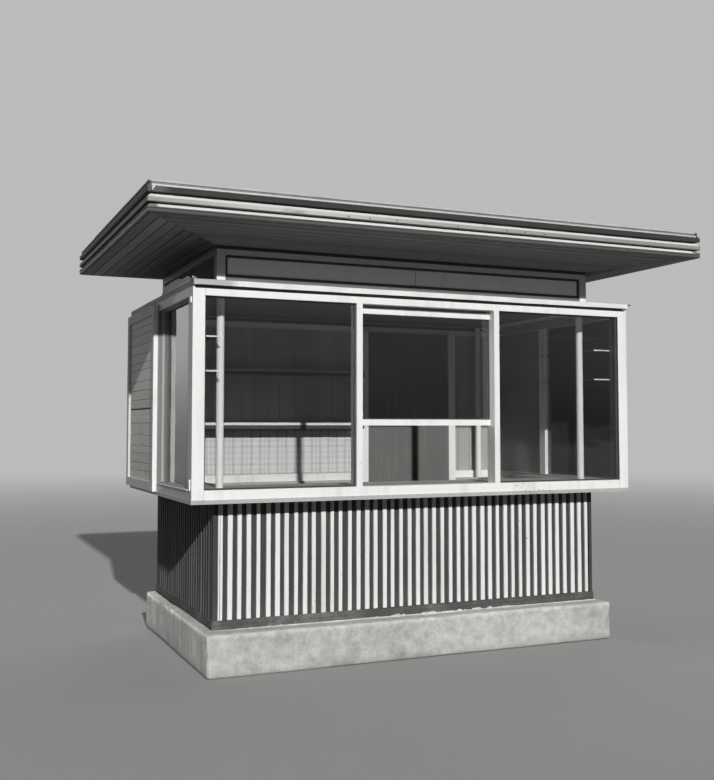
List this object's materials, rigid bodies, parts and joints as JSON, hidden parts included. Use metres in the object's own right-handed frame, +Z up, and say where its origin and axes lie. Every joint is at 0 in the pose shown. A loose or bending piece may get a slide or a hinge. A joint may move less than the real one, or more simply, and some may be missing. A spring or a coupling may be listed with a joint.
{
  "type": "street kiosk",
  "caption": "Glazed timber street kiosk on a cast plinth, slatted lower walls, display windows, serving hatch, bare sign band and a wide flat canopy.",
  "frame": {"origin": "on the ground under the middle of the canopy, at the centre of the base of the bounding box", "axes": "+X to the right along the front as a customer sees it, +Y from the front to the rear, +Z up"},
  "size_m": [3.512, 2.291, 2.593],
  "materials": {
    "concrete": "weathered cast concrete",
    "floor_boards": "worn bare boards",
    "dark_boards": "dark stain, weathered",
    "white_frame": "white oil paint, lightly worn",
    "white_slats": "white oil paint, weathered",
    "grey_boards": "pale grey oil paint",
    "pale_battens": "aged pale paint with nail heads",
    "soffit_boards": "dark stained boards",
    "shelf_boards": "bare planed boards",
    "window_glass": "clear sheet glass",
    "sign_glass": "opal sheet glass",
    "roof_metal": "weathered zinc sheet",
    "roof_felt": "bitumen felt",
    "door_iron": "dull steel",
    "post_paint": "white enamel"
  },
  "bodies": {
    "root": {"plinth": "concrete", "floor_deck": "floor_boards", "base_front_wall": "dark_boards", "base_side_walls": "dark_boards", "base_rear_walls": "dark_boards", "base_corner_strips": "dark_boards", "skirting_boards": "dark_boards", "front_slats": "white_slats", "side_slats": "dark_boards", "rear_slats": "dark_boards", "bay_floor_boards": "grey_boards", "box_corner_posts": "white_frame", "front_mullions": "white_frame", "side_mid_posts": "white_frame", "box_sill_rails": "white_frame", "box_head_rails": "white_frame", "front_window_panes": "window_glass", "side_window_panes": "window_glass", "hatch_rails": "white_frame", "hatch_pane": "window_glass", "side_rear_walls": "grey_boards", "side_shutters": "grey_boards", "rear_walls": "grey_boards", "door_jambs": "white_frame", "rear_door": "grey_boards", "door_handle": "door_iron", "shelf_bearers": "shelf_boards", "front_display_shelf": "shelf_boards", "side_display_shelves": "shelf_boards", "side_glass_shelves": "window_glass", "back_shelves": "shelf_boards", "inner_posts": "post_paint", "eave_boards": "dark_boards", "eave_side_boards": "white_frame", "skirt_roof_long_sides": "roof_metal", "skirt_roof_short_sides": "roof_metal", "ring_beams": "grey_boards", "ceiling": "grey_boards", "sign_corner_posts": "white_frame", "sign_sill_rails": "white_frame", "sign_top_rails": "white_frame", "sign_front_panes": "sign_glass", "sign_side_boards": "dark_boards", "soffit_long_sides": "soffit_boards", "soffit_short_sides": "soffit_boards", "fascia_board": "dark_boards", "fascia_lower_battens": "pale_battens", "fascia_middle_battens": "pale_battens", "fascia_upper_battens": "dark_boards", "roof_flashing": "roof_metal", "roof_deck": "roof_felt"}
  },
  "joints": []
}
